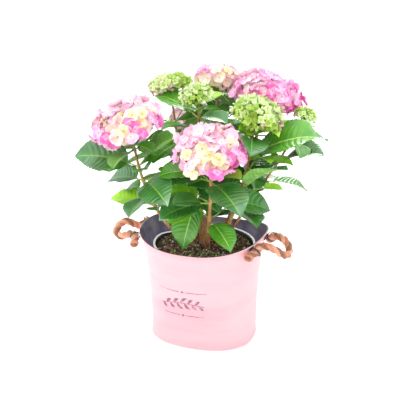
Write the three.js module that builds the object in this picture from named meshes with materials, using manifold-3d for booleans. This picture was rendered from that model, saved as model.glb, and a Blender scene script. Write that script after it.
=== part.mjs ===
// A potted mophead hydrangea: several canes rise from one nursery pot, each carries opposite pairs of
// broad leaves and ends in a domed flower head. The nursery pot stands in an oval pail with rope handles.
// Millimetres, +Z up, origin at the middle of the pail's flat underside, the pail's long axis along X.
import * as THREE from "three";
import { mergeVertices } from "three/addons/utils/BufferGeometryUtils.js";
import Module from "manifold-3d";

const wasm = await Module();
wasm.setup();

const DEG = Math.PI / 180;
const FIT_GAP = 0.3; // left between two pieces that touch on the real thing

// ---------------------------------------------------------------- driving sizes
const PAIL = {
  topLong: 115, // half the rim's length, along X
  topWide: 106, // half the rim's width, along Y
  footLong: 98,
  footWide: 83,
  height: 192, // of the rim at the middle of the long sides
  earRise: 17, // how much higher the rim is at the two ends
  flare: 3, // the ends turn outwards late, with this power of the height
  squareness: 2.4, // exponent of the outline, 2 would be an ellipse
  wall: 1,
  floor: 1.4,
  bead: 1.7, // radius of the rolled edge
};
const ROPE = {
  radius: 7,
  knot: 8.5,
  eyes: { front: -50, rear: 18 }, // where they stand along the wall, from the long axis
  eyeDrop: 11, // below the rim
  standOff: 12, // of the rope's line from the wall
  // Each rope's run: its front knot, then from the front eye over the loop to the rear eye, then its
  // rear knot. The two loops hang differently, as stiff rope does.
  left: {
    front: [[-112, -69, 184], [-113, -62, 190]],
    loop: [
      [-126, -47, 196], [-140, -44, 190], [-154, -40, 185], [-165, -31, 190], [-163, -19, 200],
      [-154, -9, 204], [-144, -3, 199], [-134, 4, 193],
    ],
    rear: [[-120, 29, 196], [-117, 36, 193]],
  },
  right: {
    front: [[105, -70, 187], [109, -62, 191]],
    loop: [
      [118, -48, 201], [127, -43, 203], [137, -39, 200], [148, -34, 193], [158, -26, 184],
      [163, -12, 181], [161, 1, 188], [152, 9, 197], [142, 12, 202], [132, 15, 202],
    ],
    rear: [[119, 28, 191], [116, 36, 187]],
  },
};
const NURSERY = {
  rimRadius: 92,
  footRadius: 66,
  rimHeight: 180,
  wall: 1.3,
  lip: 3.2,
  shiftY: -1, // it stands nearly in the middle of the pail
  dent: 15, // its soft rim is pushed in here, seen from above
  dentAt: 152,
  dentSpan: 13,
};
const SOIL = { level: 172, mound: 5 };

// Each shoot: where it stands in the soil, the middle of its flower head, how its cane swings out
// (share of the way out and of the rise at which the curve turns), and its pairs of leaves.
// A pair: at = place along the shoot, then for its two leaves the headings, the lengths of the
// blades, the angles at which they leave the stem, above the level, and where they need it how much
// further they roll to face out of the plant.
const SHOOTS = [
  {
    name: "left", foot: [-16, -16], swing: [0.82, 0.3], cane: 4.4, bare: 0.36,
    head: { kind: "pink", middle: [-104, -101, 418], wide: 59, tall: 40, florets: 24 },
    pairs: [
      { at: 0.5, turn: [178, 20], long: [74, 68], rise: [14, 14] },
      { at: 0.6, turn: [266, 84], long: [66, 84], rise: [0, 6] },
      { at: 0.72, turn: [160, 315], long: [74, 90], rise: [2, 4] },
      { at: 0.82, turn: [196, 345], long: [94, 84], rise: [20, 50], roll: [-34, 0] },
      { at: 0.93, turn: [268, 85], long: [70, 77], rise: [4, 12] },
    ],
  },
  {
    name: "front", foot: [14, -24], swing: [0.75, 0.35], cane: 4.6, bare: 0.3,
    head: { kind: "pink", middle: [46, -94, 383], wide: 58, tall: 38, florets: 25 },
    pairs: [
      { at: 0.46, turn: [322, 98], long: [64, 81], rise: [-16, 4] },
      { at: 0.66, turn: [222, 30], long: [80, 92], rise: [0, 0] },
      { at: 0.85, turn: [315, 162], long: [94, 97], rise: [-2, 8] },
    ],
  },
  {
    name: "right_lime", foot: [26, -6], swing: [0.8, 0.4], cane: 4.2, bare: 0.28,
    head: { kind: "lime", middle: [101, -12, 430], wide: 44, tall: 28, florets: 18 },
    pairs: [
      { at: 0.36, turn: [310, 130], long: [84, 77], rise: [14, 16] },
      { at: 0.54, turn: [336, 160], long: [98, 84], rise: [42, 6] },
      { at: 0.66, turn: [216, 80], long: [88, 92], rise: [6, 20] },
      { at: 0.79, turn: [352, 190], long: [114, 90], rise: [34, 8], roll: [30, 0] },
      { at: 0.94, turn: [285, 98], long: [80, 77], rise: [6, 14] },
    ],
  },
  {
    name: "back_right", foot: [20, 16], swing: [0.7, 0.4], cane: 4.6, bare: 0.34,
    head: { kind: "rose", middle: [86, 99, 442], wide: 62, tall: 42, florets: 26 },
    pairs: [
      { at: 0.44, turn: [72, 163], long: [92, 77], rise: [-2, -4] },
      { at: 0.64, turn: [112, 294], long: [103, 73], rise: [-6, -6] },
      { at: 0.84, turn: [24, 160], long: [106, 88], rise: [-2, 8] },
    ],
  },
  {
    name: "top_centre", foot: [-2, 12], swing: [0.55, 0.5], cane: 4.4, bare: 0.36,
    head: { kind: "pink", middle: [-15, 120, 460], wide: 43, tall: 30, florets: 19 },
    pairs: [
      { at: 0.46, turn: [90, 290], long: [99, 73], rise: [-4, 20] },
      { at: 0.64, turn: [174, 36], long: [97, 81], rise: [2, 8] },
      { at: 0.81, turn: [94, 238], long: [92, 84], rise: [36, 18] },
      { at: 0.95, turn: [315, 139], long: [96, 60], rise: [4, 18] },
    ],
  },
  {
    name: "mid_lime", foot: [-4, -6], swing: [0.4, 0.5], cane: 3.6, bare: 0.3,
    head: { kind: "lime", middle: [-12, -15, 456], wide: 29, tall: 20, florets: 12 },
    pairs: [
      { at: 0.37, turn: [258, 20], long: [88, 77], rise: [-44, 10] },
      { at: 0.5, turn: [244, 318], long: [76, 71], rise: [8, -22] },
      { at: 0.66, turn: [205, 42], long: [92, 88], rise: [2, 0] },
      { at: 0.8, turn: [240, 64], long: [92, 72], rise: [-6, 34] },
      { at: 0.91, turn: [158, 325], long: [92, 68], rise: [26, 16] },
    ],
  },
  {
    name: "back_left", foot: [-18, 10], swing: [0.62, 0.42], cane: 4, bare: 0.36,
    head: { kind: "lime", middle: [-88, 53, 458], wide: 38, tall: 20, florets: 15 },
    pairs: [
      { at: 0.46, turn: [150, 298], long: [97, 73], rise: [-4, -6] },
      { at: 0.64, turn: [225, 98], long: [97, 88], rise: [4, -22] },
      { at: 0.83, turn: [178, 4], long: [90, 88], rise: [8, -2] },
    ],
  },
  {
    name: "far_right", foot: [30, 8], swing: [0.6, 0.55], cane: 3.4, bare: 0.4,
    head: { kind: "lime", middle: [166, 71, 417], wide: 18, tall: 12, florets: 8 },
    pairs: [
      { at: 0.5, turn: [28, 114], long: [70, 77], rise: [-4, 6] },
      { at: 0.64, turn: [338, 254], long: [88, 60], rise: [32, 54], roll: [34, 0] },
      { at: 0.85, turn: [58, 294], long: [77, 70], rise: [2, 4] },
    ],
  },
  {
    name: "rear", foot: [-10, 24], swing: [0.8, 0.4], cane: 4.2, bare: 0.3,
    head: { kind: "rose", middle: [-64, 142, 376], wide: 50, tall: 36, florets: 22 },
    pairs: [
      { at: 0.42, turn: [120, 272], long: [92, 73], rise: [-8, 56] },
      { at: 0.62, turn: [14, 194], long: [97, 101], rise: [-16, -22] },
      { at: 0.84, turn: [110, 330], long: [92, 77], rise: [-10, 0] },
    ],
  },
];
const HEAD_LEAN = 0.35; // a head's dome leans out of the plant by this slope
const LEAF = {
  widthShare: 0.66, // of the blade's length
  stalkShare: 0.22,
  thickShare: 0.02,
  droop: 28, // how far the blade bends down from foot to tip
  fold: 16, // each half rises from the midrib by this angle
  bank: 34, // the blade rolls to face out of the plant, by up to this angle
  stations: [-0.22, -0.19, 0.02, 0.3, 0.62, 0.86, 1], // where the coarse leaf has its corners
};

// ---------------------------------------------------------------- solids
// A three.js geometry as a manifold solid, and back.
function solid(geometry) {
  const bare = geometry.clone();
  bare.deleteAttribute("normal");
  bare.deleteAttribute("uv");
  const merged = mergeVertices(bare, 1e-4);
  return new wasm.Manifold(
    new wasm.Mesh({
      numProp: 3,
      vertProperties: new Float32Array(merged.attributes.position.array),
      triVerts: new Uint32Array(merged.index.array),
    }),
  );
}

function geometryOf(made) {
  const mesh = made.getMesh();
  const geometry = new THREE.BufferGeometry();
  geometry.setAttribute("position", new THREE.BufferAttribute(new Float32Array(mesh.vertProperties), 3));
  geometry.setIndex(new THREE.BufferAttribute(new Uint32Array(mesh.triVerts), 1));
  geometry.computeVertexNormals();
  return geometry;
}

const join = (solids) => solids.reduce((whole, piece) => whole.add(piece));

// Moves every corner of a geometry by a function of its old place.
function reshape(geometry, place) {
  const position = geometry.attributes.position;
  const corner = new THREE.Vector3();
  for (let i = 0; i < position.count; i++) {
    const moved = place(corner.fromBufferAttribute(position, i));
    position.setXYZ(i, moved.x, moved.y, moved.z);
  }
  return geometry;
}

// A round limb that tapers along a curve: a closed cylinder bent onto it, over the stretch from..to;
// swell widens it in places.
function limb(curve, from, to, footRadius, tipRadius, sides, steps, swell = () => 1) {
  const rod = new THREE.CylinderGeometry(1, 1, 1, sides, steps);
  return reshape(rod, (corner) => {
    const share = corner.y + 0.5;
    const t = from + (to - from) * share;
    const centre = curve.getPoint(t);
    const along = curve.getTangent(t);
    const side = new THREE.Vector3(1, 0.2, 0).cross(along).normalize();
    const other = new THREE.Vector3().crossVectors(side, along);
    const radius = (footRadius + (tipRadius - footRadius) * share) * swell(t);
    return centre.addScaledVector(other, -corner.x * radius).addScaledVector(side, corner.z * radius);
  });
}

// Seeded numbers from 0 to 1, the same on every run.
function dice(seed) {
  let state = seed >>> 0;
  return () => {
    state = (Math.imul(state, 1664525) + 1013904223) >>> 0;
    return state / 4294967296;
  };
}

// ---------------------------------------------------------------- pail
const rootOf = (value) => Math.sign(value) * Math.abs(value) ** (2 / PAIL.squareness);

// A point of the pail's wall: angle round it, share of the height, distance outside the outer face.
function pailPoint(angle, share, outside) {
  const long = PAIL.footLong + (PAIL.topLong - PAIL.footLong) * share ** PAIL.flare + outside;
  const wide = PAIL.footWide + (PAIL.topWide - PAIL.footWide) * share + outside;
  const rim = PAIL.height + PAIL.earRise * Math.cos(angle) ** 2;
  return new THREE.Vector3(long * rootOf(Math.cos(angle)), wide * rootOf(Math.sin(angle)), rim * share);
}

// The wall's section runs up the outside, over the rolled edge and down the inside to the floor.
function pail() {
  const section = [[0, 0, 0]];
  for (const share of [0.3, 0.6, 0.8, 0.92, 0.985]) section.push([share, 0, 0]);
  for (let turn = -60; turn <= 180; turn += 60)
    section.push([1, PAIL.bead * (0.5 + Math.cos(turn * DEG)), PAIL.bead * (Math.sin(turn * DEG) - 1)]);
  section.push([1, -PAIL.wall, -2 * PAIL.bead]);
  for (const share of [0.92, 0.8, 0.6, 0.3]) section.push([share, -PAIL.wall, 0]);
  section.push([0, -PAIL.wall, PAIL.floor]);
  const around = 36;
  const outline = section.map((_, i) => new THREE.Vector2(10, i));
  outline.unshift(new THREE.Vector2(0, -1));
  outline.push(new THREE.Vector2(0, section.length));
  const shell = reshape(new THREE.LatheGeometry(outline, around), (corner) => {
    const angle = Math.atan2(-corner.z, corner.x);
    const row = Math.round(corner.y);
    if (row < 0) return new THREE.Vector3(0, 0, 0);
    if (row >= section.length) return new THREE.Vector3(0, 0, PAIL.floor);
    const [share, outside, lift] = section[row];
    const point = pailPoint(angle, share, outside);
    point.z += lift;
    return point;
  });
  return solid(shell);
}

// The wall's angle at a distance y from the long axis, near the end that side (1 or -1) names.
function earAngle(side, y) {
  const sine = Math.abs(y / PAIL.topWide) ** (PAIL.squareness / 2);
  const near = Math.asin(sine) * Math.sign(y);
  return side > 0 ? near : Math.PI - near;
}

// Angle and share of height of an eye, and the middle of its ring.
function eyePlace(side, place) {
  const angle = earAngle(side, ROPE.eyes[place]);
  const rim = PAIL.height + PAIL.earRise * Math.cos(angle) ** 2;
  const share = 1 - ROPE.eyeDrop / rim;
  return { angle, share, ring: pailPoint(angle, share, ROPE.standOff) };
}

// The rope's own line: knot, through the front eye, out and round, through the rear eye, knot.
function ropeCurve(side) {
  const { front, loop, rear } = side > 0 ? ROPE.right : ROPE.left;
  const along = (points) => points.map(([x, y, z]) => new THREE.Vector3(x, y, z));
  const eyes = ["front", "rear"].map((place) => eyePlace(side, place).ring);
  const run = [...along(front), eyes[0], ...along(loop), eyes[1], ...along(rear)];
  return new THREE.CatmullRomCurve3(run, false, "centripetal");
}

function ropeHandle(side) {
  const around = ROPE.radius / ROPE.knot;
  const swell = (t) => (t < 0.045 || t > 0.955 ? 1 : around);
  return solid(limb(ropeCurve(side), 0, 1, ROPE.knot, ROPE.knot, 8, 40, swell));
}

// A wire eye on a small plate on the wall, which the rope runs through.
function handleEye(side, place) {
  const { angle, share, ring } = eyePlace(side, place);
  const curve = ropeCurve(side);
  const wire = 1.3;
  let nearest = 0;
  for (let t = 0; t <= 1; t += 0.002)
    if (curve.getPoint(t).distanceTo(ring) < curve.getPoint(nearest).distanceTo(ring)) nearest = t;
  const torus = new THREE.TorusGeometry(ROPE.radius + wire + 4 * FIT_GAP, wire, 5, 12);
  torus.applyQuaternion(
    new THREE.Quaternion().setFromUnitVectors(new THREE.Vector3(0, 0, 1), curve.getTangent(nearest)),
  );
  torus.translate(ring.x, ring.y, ring.z);
  const plate = reshape(new THREE.BoxGeometry(1, 1, 1, 2, 1, 1), (corner) =>
    pailPoint(angle + corner.x * 0.12, share + corner.y * 0.06, FIT_GAP + (corner.z + 0.5) * 2.6),
  );
  return join([solid(torus), solid(plate)]);
}

// ---------------------------------------------------------------- nursery pot and soil
// Radius of the nursery pot's outer face at a height, with the dent that fades towards its foot.
function nurseryRadius(angle, z, inside) {
  const share = z / NURSERY.rimHeight;
  const off = ((angle / DEG - NURSERY.dentAt + 540) % 360) - 180;
  const dent = NURSERY.dent * Math.exp(-((off / NURSERY.dentSpan) ** 2)) * share ** 3;
  return NURSERY.footRadius + (NURSERY.rimRadius - NURSERY.footRadius) * share - dent - inside;
}

function nurseryPoint(angle, z, inside) {
  const radius = nurseryRadius(angle, z, inside);
  return new THREE.Vector3(Math.cos(angle) * radius, Math.sin(angle) * radius + NURSERY.shiftY, z);
}

const nurseryFoot = PAIL.floor + FIT_GAP;

// The pot's section is a list of [height, distance inside the outer face], up the outside, over the
// lip and down the inside to the floor.
function nurserySolid(wall) {
  const { rimHeight, lip } = NURSERY;
  const floorTop = nurseryFoot + wall;
  const section = [
    [nurseryFoot, 0], [rimHeight * 0.5, 0], [rimHeight - 9, 0], [rimHeight - 8, -lip], [rimHeight, -lip],
    [rimHeight, wall], [rimHeight * 0.5, wall], [floorTop, wall],
  ];
  const outline = section.map((_, i) => new THREE.Vector2(10, i));
  outline.unshift(new THREE.Vector2(0, -1));
  outline.push(new THREE.Vector2(0, section.length));
  const body = reshape(new THREE.LatheGeometry(outline, 32), (corner) => {
    const row = Math.round(corner.y);
    if (row < 0) return new THREE.Vector3(0, NURSERY.shiftY, nurseryFoot);
    if (row >= section.length) return new THREE.Vector3(0, NURSERY.shiftY, floorTop);
    return nurseryPoint(Math.atan2(-corner.z, corner.x), section[row][0], section[row][1]);
  });
  return solid(body);
}

const nurseryPot = () => nurserySolid(NURSERY.wall);

function soilHeight(x, y) {
  const out = Math.hypot(x, y - NURSERY.shiftY) / NURSERY.rimRadius;
  return SOIL.level + SOIL.mound * Math.cos(Math.min(1, out) * Math.PI * 0.5);
}

// The soil is a low mound cut to the inside of the nursery pot.
function soil() {
  const outline = [[0, nurseryFoot], [NURSERY.rimRadius, nurseryFoot]];
  for (const share of [1, 0.75, 0.5, 0.25, 0]) {
    const out = NURSERY.rimRadius * share;
    outline.push([out, soilHeight(out, NURSERY.shiftY)]);
  }
  const mound = new THREE.LatheGeometry(outline.map(([x, y]) => new THREE.Vector2(x, y)), 32);
  mound.rotateX(90 * DEG).translate(0, NURSERY.shiftY, 0);
  const bodies = solid(mound).subtract(nurserySolid(NURSERY.wall + FIT_GAP)).decompose();
  return bodies.reduce((largest, body) => (body.volume() > largest.volume() ? body : largest));
}

// ---------------------------------------------------------------- canes
// A shoot's own line, from the soil to the foot of its flower head.
function shootCurve({ foot, swing, headFrame }) {
  const start = new THREE.Vector3(foot[0], foot[1], soilHeight(foot[0], foot[1]) + FIT_GAP);
  const end = headFrame.foot;
  const bend = new THREE.Vector3(
    start.x + (end.x - start.x) * swing[0],
    start.y + (end.y - start.y) * swing[0],
    start.z + (end.z - start.z) * swing[1],
  );
  return new THREE.QuadraticBezierCurve3(start, bend, end);
}

const thickness = (shoot, t) => shoot.cane * (1 - 0.5 * t);

// The bare cane, from a flat cut at the soil, with a small flare at its foot.
function cane(shoot) {
  const curve = shoot.curve;
  const rod = limb(curve, 0, shoot.bare, thickness(shoot, 0), thickness(shoot, shoot.bare), 7, 4);
  return reshape(rod, (corner) => {
    const start = curve.getPoint(0);
    const up = corner.z - start.z;
    if (up < shoot.cane) {
      corner.x += (corner.x - start.x) * 0.3;
      corner.y += (corner.y - start.y) * 0.3;
      corner.z = start.z;
    }
    return corner;
  });
}

// ---------------------------------------------------------------- leaves
// Half the blade's width, as a share of its greatest, at a share of its length.
const bladeOutline = (u) => 2.554 * u ** 0.55 * Math.max(0, 1 - u) ** 0.85;

// A leaf's own directions: its heading, and the side that its bank lifts, so that it faces outwards.
function aimLeaf(leaf) {
  const { root, heading } = leaf;
  leaf.level = new THREE.Vector3(Math.cos(heading * DEG), Math.sin(heading * DEG), 0);
  leaf.side = new THREE.Vector3(-leaf.level.y, leaf.level.x, 0);
  const out = new THREE.Vector3(root.x, root.y, 0).addScaledVector(leaf.level, leaf.long * 0.6);
  leaf.bank = -LEAF.bank * DEG * (out.dot(leaf.side) / Math.max(out.length(), 40)) + leaf.roll * DEG;
  return leaf;
}

// A point of the leaf: u along the blade (below 0 on the stalk), v across it, lift above it.
function leafPoint(leaf, u, v, lift) {
  const { root, long } = leaf;
  const bend = (LEAF.droop * DEG) / long;
  const first = leaf.rise * DEG;
  const now = first - bend * long * Math.max(0, u);
  const straight = long * (LEAF.stalkShare + Math.min(0, u));
  const outward = straight * Math.cos(first) + (Math.sin(first) - Math.sin(now)) / bend;
  const upward = straight * Math.sin(first) + (Math.cos(now) - Math.cos(first)) / bend;
  const half = 0.5 * long * LEAF.widthShare * bladeOutline(Math.max(0, u));
  const across = v * Math.max(half * Math.cos(LEAF.fold * DEG), long * 0.022);
  const raise = lift + Math.abs(v) * half * Math.sin(LEAF.fold * DEG);
  const aside = across * Math.cos(leaf.bank) - raise * Math.sin(leaf.bank);
  const above = across * Math.sin(leaf.bank) + raise * Math.cos(leaf.bank);
  return root
    .clone()
    .addScaledVector(leaf.level, outward - Math.sin(now) * above)
    .addScaledVector(leaf.side, aside)
    .add(new THREE.Vector3(0, 0, upward + Math.cos(now) * above));
}

// A leaf with its stalk as a thin closed lens: foot and tip are the poles, the midrib above and
// below and the two edges are its four meridians.
function leafSolid(leaf) {
  const rows = LEAF.stations.length - 1;
  const lens = new THREE.SphereGeometry(1, 4, rows);
  return solid(
    reshape(lens, (corner) => {
      const row = Math.round((Math.acos(THREE.MathUtils.clamp(corner.y, -1, 1)) / Math.PI) * rows);
      const u = LEAF.stations[row];
      const pole = row === 0 || row === rows;
      const v = pole || Math.abs(corner.x) < 1e-6 ? 0 : Math.sign(corner.x);
      const thick = leaf.long * (u < 0.1 ? 0.042 : LEAF.thickShare);
      const lift = pole || v !== 0 ? 0 : (Math.sign(corner.z) * thick) / 2;
      return leafPoint(leaf, u, v, lift);
    }),
  );
}

function leavesOf(shoot) {
  return shoot.pairs.flatMap(({ at, turn, long, rise, roll = [0, 0] }) =>
    [0, 1].map((i) => {
      const root = shoot.curve.getPoint(at);
      return aimLeaf({ root, heading: turn[i], long: long[i], rise: rise[i], roll: roll[i] });
    }),
  );
}

// A leafy shoot: the twig that goes on from its cane, with the leaves fused on.
function leafyShoot(shoot) {
  const gap = FIT_GAP / shoot.curve.getLength();
  const from = shoot.bare + gap;
  const twig = limb(shoot.curve, from, 1, thickness(shoot, from), thickness(shoot, 1), 6, 6);
  return join([solid(twig), ...leavesOf(shoot).map(leafSolid)]);
}

// ---------------------------------------------------------------- flower heads
// The head's frame: its middle, the axis of its dome and the foot of its stem, where the shoot ends.
function headFrame({ head }) {
  const middle = new THREE.Vector3(...head.middle);
  const out = new THREE.Vector3(middle.x, middle.y, 0).normalize().multiplyScalar(HEAD_LEAN);
  const axis = out.add(new THREE.Vector3(0, 0, 1)).normalize();
  const turn = new THREE.Quaternion().setFromUnitVectors(new THREE.Vector3(0, 0, 1), axis);
  const foot = middle.clone().addScaledVector(axis, -head.tall * 0.55 - 8);
  return { ...head, middle, axis, foot, turn };
}

// Florets stand on a flattened dome in a sunflower spiral, down to a little under its widest ring.
function flowerHead(shoot, seed) {
  const { florets, wide, tall } = shoot.head;
  const head = shoot.headFrame;
  const roll = dice(seed);
  const core = reshape(new THREE.IcosahedronGeometry(0.82, 1), ({ x, y, z }) => {
    return new THREE.Vector3(x * wide, y * wide, z * tall * (z < 0 ? 0.6 : 1));
  });
  core.applyQuaternion(head.turn).translate(head.middle.x, head.middle.y, head.middle.z);
  const pieces = [solid(core)];
  const lowest = -0.42;
  const golden = Math.PI * (3 - Math.sqrt(5));
  const spread = 1.16 * Math.sqrt((2 * Math.PI * (1 - lowest) * wide * (0.45 * wide + 0.55 * tall)) / florets / Math.PI);
  for (let i = 0; i < florets; i++) {
    const upward = 1 - ((1 - lowest) * (i + 0.5)) / florets;
    const outward = Math.sqrt(1 - upward * upward);
    const angle = i * golden;
    const reach = 0.93 + 0.07 * roll();
    const face = new THREE.Vector3(Math.cos(angle) * outward * wide, Math.sin(angle) * outward * wide, upward * tall);
    const normal = new THREE.Vector3(face.x / wide ** 2, face.y / wide ** 2, face.z / tall ** 2).normalize();
    const depth = Math.min(tall, wide) * 0.4;
    const cone = new THREE.ConeGeometry(spread * 0.5, depth, 8);
    reshape(cone, (corner) => {
      const rim = corner.y < 0 && Math.hypot(corner.x, corner.z) > 1e-3;
      const spoke = Math.round(Math.atan2(corner.z, corner.x) / (45 * DEG));
      const share = rim && spoke % 2 ? 0.62 : 1;
      const cup = rim ? depth * 0.09 : depth * 0.02;
      return new THREE.Vector3(corner.x * share, corner.y + cup * (corner.y < 0 ? 1 : 0), corner.z * share);
    });
    const spin = roll() * 90 * DEG;
    cone.rotateY(spin).translate(0, depth / 2, 0);
    cone.applyQuaternion(new THREE.Quaternion().setFromUnitVectors(new THREE.Vector3(0, -1, 0), normal));
    face.multiplyScalar(reach).addScaledVector(normal, 0);
    cone.translate(face.x, face.y, face.z);
    cone.applyQuaternion(head.turn).translate(head.middle.x, head.middle.y, head.middle.z);
    pieces.push(solid(cone));
  }
  const onward = shoot.curve.getTangent(1);
  const foot = head.foot.clone().addScaledVector(onward, FIT_GAP);
  const bend = foot.clone().addScaledVector(onward, foot.distanceTo(head.middle) * 0.5);
  const stem = new THREE.QuadraticBezierCurve3(foot, bend, head.middle);
  pieces.push(solid(limb(stem, 0, 0.85, thickness(shoot, 1), thickness(shoot, 1) * 1.1, 6, 3)));
  return join(pieces);
}

// ---------------------------------------------------------------- the whole plant
const finish = (color, roughness, metalness = 0) =>
  new THREE.MeshStandardMaterial({ color, roughness, metalness });
const FINISHES = {
  paintedSteel: finish(0xf9dade, 0.5),
  jute: finish(0xc98a68, 0.95),
  wire: finish(0x55525a, 0.4, 1),
  plastic: finish(0x2b2a30, 0.5),
  soil: finish(0x3a2a26, 1),
  bark: finish(0x8a6a48, 0.8),
  leaf: finish(0x2f7a34, 0.5),
  pink: finish(0xf6bcd2, 0.7),
  rose: finish(0xf58fc0, 0.7),
  lime: finish(0xc6dc7a, 0.7),
};

const plant = new THREE.Group();

function add(name, made, material) {
  const mesh = new THREE.Mesh(geometryOf(made), material);
  mesh.name = name;
  plant.add(mesh);
}

add("pail", pail(), FINISHES.paintedSteel);
for (const [side, word] of [[-1, "left"], [1, "right"]]) {
  add(`rope_handle_${word}`, ropeHandle(side), FINISHES.jute);
  for (const place of ["front", "rear"])
    add(`handle_eye_${word}_${place}`, handleEye(side, place), FINISHES.wire);
}
add("nursery_pot", nurseryPot(), FINISHES.plastic);
add("soil", soil(), FINISHES.soil);

for (const shoot of SHOOTS) {
  shoot.headFrame = headFrame(shoot);
  shoot.curve = shootCurve(shoot);
}
SHOOTS.forEach((shoot, index) => {
  add(`cane_${shoot.name}`, solid(cane(shoot)), FINISHES.bark);
  add(`leaves_${shoot.name}`, leafyShoot(shoot), FINISHES.leaf);
  add(`flower_head_${shoot.name}`, flowerHead(shoot, 101 + index), FINISHES[shoot.head.kind]);
});

export default plant;
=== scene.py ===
import random
from math import asin, copysign, cos, degrees, exp, hypot, pi, radians, sin, sqrt, tau

import bmesh
import bpy
from mathutils import Matrix, Quaternion, Vector


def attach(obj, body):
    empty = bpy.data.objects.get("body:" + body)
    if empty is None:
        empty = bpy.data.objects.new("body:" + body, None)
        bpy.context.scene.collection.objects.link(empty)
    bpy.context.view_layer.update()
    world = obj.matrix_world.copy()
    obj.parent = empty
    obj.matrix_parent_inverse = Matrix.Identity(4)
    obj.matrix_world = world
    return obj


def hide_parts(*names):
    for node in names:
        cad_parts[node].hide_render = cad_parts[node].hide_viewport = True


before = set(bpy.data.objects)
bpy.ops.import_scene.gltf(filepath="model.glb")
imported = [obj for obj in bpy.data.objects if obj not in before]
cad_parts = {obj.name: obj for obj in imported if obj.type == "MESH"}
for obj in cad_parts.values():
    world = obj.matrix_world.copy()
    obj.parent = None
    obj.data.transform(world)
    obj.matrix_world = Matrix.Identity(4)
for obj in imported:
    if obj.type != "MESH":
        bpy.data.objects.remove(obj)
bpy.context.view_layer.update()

scene = bpy.context.scene

# ---------------- camera
# The plant is seen from a little above its top, over the pail's front right, through a long lens.
CAMERA_PLACE = (0.4543, -1.2860, 0.7144)  # metres
CAMERA_TURN, CAMERA_DIP = radians(19.8), radians(18.4)
SENSOR, LENS = 36.0, 70.7  # mm
camera_data = bpy.data.cameras.new("camera")
camera_data.sensor_width, camera_data.lens, camera_data.clip_end = SENSOR, LENS, 30.0
camera = bpy.data.objects.new("camera", camera_data)
camera.location = CAMERA_PLACE
camera.rotation_euler = (radians(90) - CAMERA_DIP, 0, CAMERA_TURN)
scene.collection.objects.link(camera)
scene.camera = camera

# ---------------- pail
# An oval pail of thin rolled steel sheet, its ends flared and drawn up. Its edge is rolled over a
# wire. Outside it is sprayed a chalky pale pink, inside the bare galvanised zinc shows.
PAIL_TOP = (115.0, 106.0)  # half the rim's length and width, mm
PAIL_FOOT = (98.0, 83.0)
PAIL_HEIGHT, PAIL_EAR = 192.0, 17.0
PAIL_FLARE, PAIL_SQUARENESS = 3.0, 2.4
PAIL_WALL, PAIL_FLOOR, PAIL_BEAD = 1.0, 1.4, 1.7


def linear(colour):
    """A #rrggbb colour as linear RGBA."""
    parts = [int(colour[i:i + 2], 16) / 255 for i in (1, 3, 5)]
    return [c / 12.92 if c <= 0.04045 else ((c + 0.055) / 1.055) ** 2.4 for c in parts] + [1.0]


def add_node(tree, kind, inputs={}, **settings):
    """Adds a node, sets it up, and fills or links its sockets."""
    made = tree.nodes.new(kind)
    for name, value in settings.items():
        setattr(made, name, value)
    for socket, value in inputs.items():
        if isinstance(value, bpy.types.NodeSocket):
            tree.links.new(value, made.inputs[socket])
        else:
            made.inputs[socket].default_value = value
    return made


CELLS = 500.0  # noise cells in a metre for patches 1 mm across: a patch is about half a cell


def mottled(name, colours, size, roughness, bump=0.0, bump_size=1.0, stretch=(1, 1, 1), metallic=0.0,
            **extra):
    """A finish whose colours drift in patches of the given size, with a fine relief; sizes in mm."""
    material = bpy.data.materials.new(name)
    material.use_nodes = True
    tree = material.node_tree
    shader = tree.nodes["Principled BSDF"]
    place = add_node(tree, "ShaderNodeTexCoord").outputs["Object"]
    drawn = add_node(tree, "ShaderNodeMapping", {"Vector": place, "Scale": stretch}).outputs[0]
    patches = add_node(tree, "ShaderNodeTexNoise", {"Vector": drawn, "Scale": CELLS / size, "Detail": 4.0})
    ramp = add_node(tree, "ShaderNodeValToRGB", {"Fac": patches.outputs[0]})
    while len(ramp.color_ramp.elements) < len(colours):
        ramp.color_ramp.elements.new(0.5)
    for i, colour in enumerate(colours):
        ramp.color_ramp.elements[i].position = 0.32 + 0.36 * i / max(1, len(colours) - 1)
        ramp.color_ramp.elements[i].color = linear(colour)
    tree.links.new(ramp.outputs[0], shader.inputs["Base Color"])
    shader.inputs["Roughness"].default_value = roughness
    shader.inputs["Metallic"].default_value = metallic
    for socket, value in extra.items():
        shader.inputs[socket.replace("_", " ")].default_value = value
    if bump:
        grain = add_node(tree, "ShaderNodeTexNoise",
                         {"Vector": drawn, "Scale": CELLS / bump_size, "Detail": 3.0})
        relief = add_node(tree, "ShaderNodeBump",
                          {"Height": grain.outputs[0], "Strength": bump, "Distance": 0.001})
        tree.links.new(relief.outputs[0], shader.inputs["Normal"])
    return material


# Sprayed enamel on steel: chalky, nearly even, a little deeper where the spray lay thicker.
pink_enamel = mottled("pink_enamel", ["#efb0ba", "#f5bec5", "#f0b5be"], 45, 0.4, 0.12, 5.0,
                      stretch=(0.35, 0.35, 1.6))
# Hot-dip galvanised zinc: a dull violet grey, clouded in spangles of about a centimetre.
galvanised_zinc = mottled("galvanised_zinc", ["#746b86", "#8f869e", "#aca3b6"], 14, 0.42, 0.05, 2.0,
                          metallic=0.5)
# A painted shadow on the zinc of the rolled edge at the front: a dull plum brown.
painted_shadow_edge = mottled("painted_shadow_edge", ["#3e2e38", "#66545e"], 5, 0.6, 0.1, 2.0, metallic=0.2)


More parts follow.
